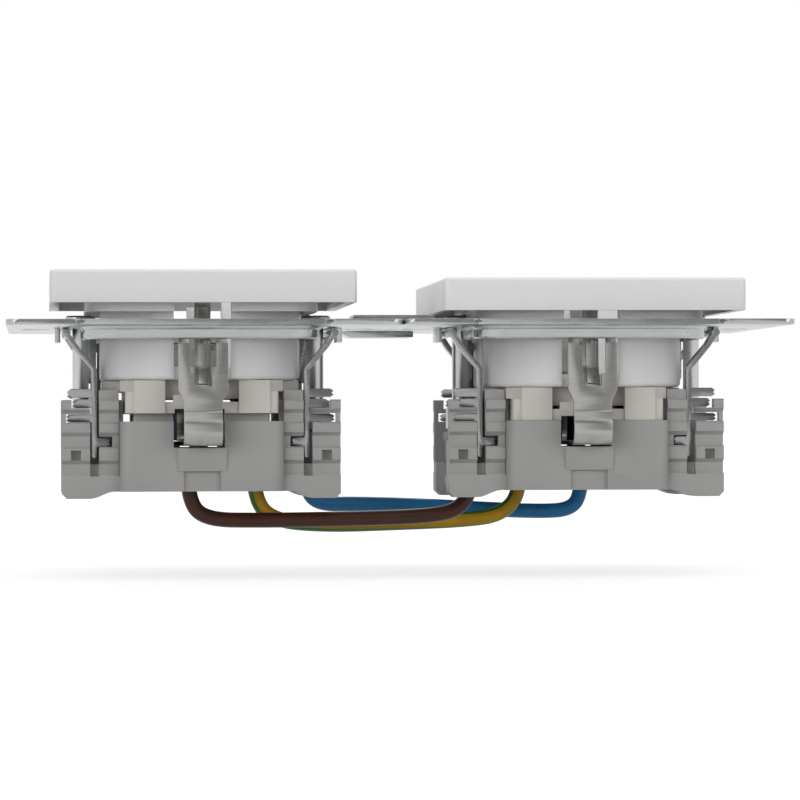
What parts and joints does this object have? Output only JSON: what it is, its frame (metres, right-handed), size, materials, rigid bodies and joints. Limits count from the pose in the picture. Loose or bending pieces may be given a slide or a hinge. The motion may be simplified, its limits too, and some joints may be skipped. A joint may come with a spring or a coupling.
{
  "type": "double flush socket insert",
  "caption": "Pre-wired pair of flush earthed socket inserts with square covers, steel mounting plates, expanding claws and link wires.",
  "frame": {"origin": "midway between the two inserts, level with the top of the mounting plates, at the centre of the four wall screw slots", "axes": "+X along the pair, +Y towards the rear edge as pictured, +Z out of the wall towards the user"},
  "size_m": [0.142, 0.071, 0.0481],
  "materials": {
    "white_plastic": "moulded, fine satin gloss",
    "cream_plastic": "moulded urea-like cream",
    "grey_plastic": "moulded, matt",
    "dark_blue_plastic": "moulded, matt",
    "plate_steel": "bright zinc plated sheet",
    "claw_steel": "zinc plated, tumbled",
    "screw_steel": "zinc plated",
    "nut_steel": "zinc plated",
    "spring_steel": "stainless",
    "tinned_strap": "tinned brass sheet",
    "brass": "pressed brass",
    "copper": "bare copper",
    "brown_pvc": "extruded, soft gloss",
    "green_yellow_pvc": "extruded, two colours",
    "blue_pvc": "extruded, soft gloss"
  },
  "bodies": {
    "inserts": {"left_cover": "white_plastic", "left_cover_screw": "screw_steel", "left_mounting_plate": "plate_steel", "left_contact_carrier": "cream_plastic", "left_casing": "grey_plastic", "left_terminal_holder": "dark_blue_plastic", "left_earth_strap": "tinned_strap", "left_neutral_contact": "brass", "left_line_contact": "brass", "left_neutral_clamp_springs": "spring_steel", "left_line_clamp_springs": "spring_steel", "left_earth_clamp_springs": "spring_steel", "right_cover": "white_plastic", "right_cover_screw": "screw_steel", "right_mounting_plate": "plate_steel", "right_contact_carrier": "cream_plastic", "right_casing": "grey_plastic", "right_terminal_holder": "dark_blue_plastic", "right_earth_strap": "tinned_strap", "right_neutral_contact": "brass", "right_line_contact": "brass", "right_neutral_clamp_springs": "spring_steel", "right_line_clamp_springs": "spring_steel", "right_earth_clamp_springs": "spring_steel", "brown_wire": "brown_pvc", "brown_wire_ends": "copper", "earth_wire": "green_yellow_pvc", "earth_wire_ends": "copper", "blue_wire": "blue_pvc", "blue_wire_ends": "copper"},
    "left_claw_a": {"left_claw_a": "claw_steel"},
    "left_claw_b": {"left_claw_b": "claw_steel"},
    "left_claw_screw_a": {"left_claw_screw_a": "screw_steel"},
    "left_claw_screw_b": {"left_claw_screw_b": "screw_steel"},
    "left_claw_nut_a": {"left_claw_nut_a": "nut_steel"},
    "left_claw_nut_b": {"left_claw_nut_b": "nut_steel"},
    "left_release_lever_a": {"left_release_lever_a": "grey_plastic"},
    "left_release_lever_b": {"left_release_lever_b": "grey_plastic"},
    "right_claw_a": {"right_claw_a": "claw_steel"},
    "right_claw_b": {"right_claw_b": "claw_steel"},
    "right_claw_screw_a": {"right_claw_screw_a": "screw_steel"},
    "right_claw_screw_b": {"right_claw_screw_b": "screw_steel"},
    "right_claw_nut_a": {"right_claw_nut_a": "nut_steel"},
    "right_claw_nut_b": {"right_claw_nut_b": "nut_steel"},
    "right_release_lever_a": {"right_release_lever_a": "grey_plastic"},
    "right_release_lever_b": {"right_release_lever_b": "grey_plastic"}
  },
  "joints": [
    {"name": "left_claw_screw_a_turn", "type": "hinge", "parent": "inserts", "child": "left_claw_screw_a", "pos_m": [-0.0574, 0, 0], "axis": [0, 0, -1], "range_deg": [0, 2304]},
    {"name": "left_claw_nut_a_rise", "type": "slide", "parent": "inserts", "child": "left_claw_nut_a", "axis": [0, 0, 1], "range_m": [0, 0.0032]},
    {"name": "left_claw_a_swing", "type": "hinge", "parent": "inserts", "child": "left_claw_a", "pos_m": [-0.0601, 0, -0.00195], "axis": [0, 1, 0], "range_deg": [0, 16]},
    {"name": "left_release_lever_a_open", "type": "hinge", "parent": "inserts", "child": "left_release_lever_a", "pos_m": [-0.05995, 0, -0.0209], "axis": [0, 1, 0], "range_deg": [0, 22]},
    {"name": "left_claw_screw_b_turn", "type": "hinge", "parent": "inserts", "child": "left_claw_screw_b", "pos_m": [-0.0136, 0, 0], "axis": [0, 0, -1], "range_deg": [0, 2304]},
    {"name": "left_claw_nut_b_rise", "type": "slide", "parent": "inserts", "child": "left_claw_nut_b", "axis": [0, 0, 1], "range_m": [0, 0.0032]},
    {"name": "left_claw_b_swing", "type": "hinge", "parent": "inserts", "child": "left_claw_b", "pos_m": [-0.0109, 0, -0.00195], "axis": [0, -1, 0], "range_deg": [0, 16]},
    {"name": "left_release_lever_b_open", "type": "hinge", "parent": "inserts", "child": "left_release_lever_b", "pos_m": [-0.01105, 0, -0.0209], "axis": [0, -1, 0], "range_deg": [0, 22]},
    {"name": "right_claw_screw_a_turn", "type": "hinge", "parent": "inserts", "child": "right_claw_screw_a", "pos_m": [0.0136, 0, 0], "axis": [0, 0, -1], "range_deg": [0, 2304]},
    {"name": "right_claw_nut_a_rise", "type": "slide", "parent": "inserts", "child": "right_claw_nut_a", "axis": [0, 0, 1], "range_m": [0, 0.0032]},
    {"name": "right_claw_a_swing", "type": "hinge", "parent": "inserts", "child": "right_claw_a", "pos_m": [0.0109, 0, -0.00195], "axis": [0, 1, 0], "range_deg": [0, 16]},
    {"name": "right_release_lever_a_open", "type": "hinge", "parent": "inserts", "child": "right_release_lever_a", "pos_m": [0.01105, 0, -0.0209], "axis": [0, 1, 0], "range_deg": [0, 22]},
    {"name": "right_claw_screw_b_turn", "type": "hinge", "parent": "inserts", "child": "right_claw_screw_b", "pos_m": [0.0574, 0, 0], "axis": [0, 0, -1], "range_deg": [0, 2304]},
    {"name": "right_claw_nut_b_rise", "type": "slide", "parent": "inserts", "child": "right_claw_nut_b", "axis": [0, 0, 1], "range_m": [0, 0.0032]},
    {"name": "right_claw_b_swing", "type": "hinge", "parent": "inserts", "child": "right_claw_b", "pos_m": [0.0601, 0, -0.00195], "axis": [0, -1, 0], "range_deg": [0, 16]},
    {"name": "right_release_lever_b_open", "type": "hinge", "parent": "inserts", "child": "right_release_lever_b", "pos_m": [0.05995, 0, -0.0209], "axis": [0, -1, 0], "range_deg": [-22, 0]}
  ],
  "couplings": [
    {"joint": "left_claw_screw_a_turn", "follows": "left_claw_nut_a_rise", "rad_per_m": 12566},
    {"joint": "left_claw_a_swing", "follows": "left_claw_nut_a_rise", "rad_per_m": 87.265},
    {"joint": "left_claw_screw_b_turn", "follows": "left_claw_nut_b_rise", "rad_per_m": 12566},
    {"joint": "left_claw_b_swing", "follows": "left_claw_nut_b_rise", "rad_per_m": 87.265},
    {"joint": "right_claw_screw_a_turn", "follows": "right_claw_nut_a_rise", "rad_per_m": 12566},
    {"joint": "right_claw_a_swing", "follows": "right_claw_nut_a_rise", "rad_per_m": 87.265},
    {"joint": "right_claw_screw_b_turn", "follows": "right_claw_nut_b_rise", "rad_per_m": 12566},
    {"joint": "right_claw_b_swing", "follows": "right_claw_nut_b_rise", "rad_per_m": 87.265}
  ]
}
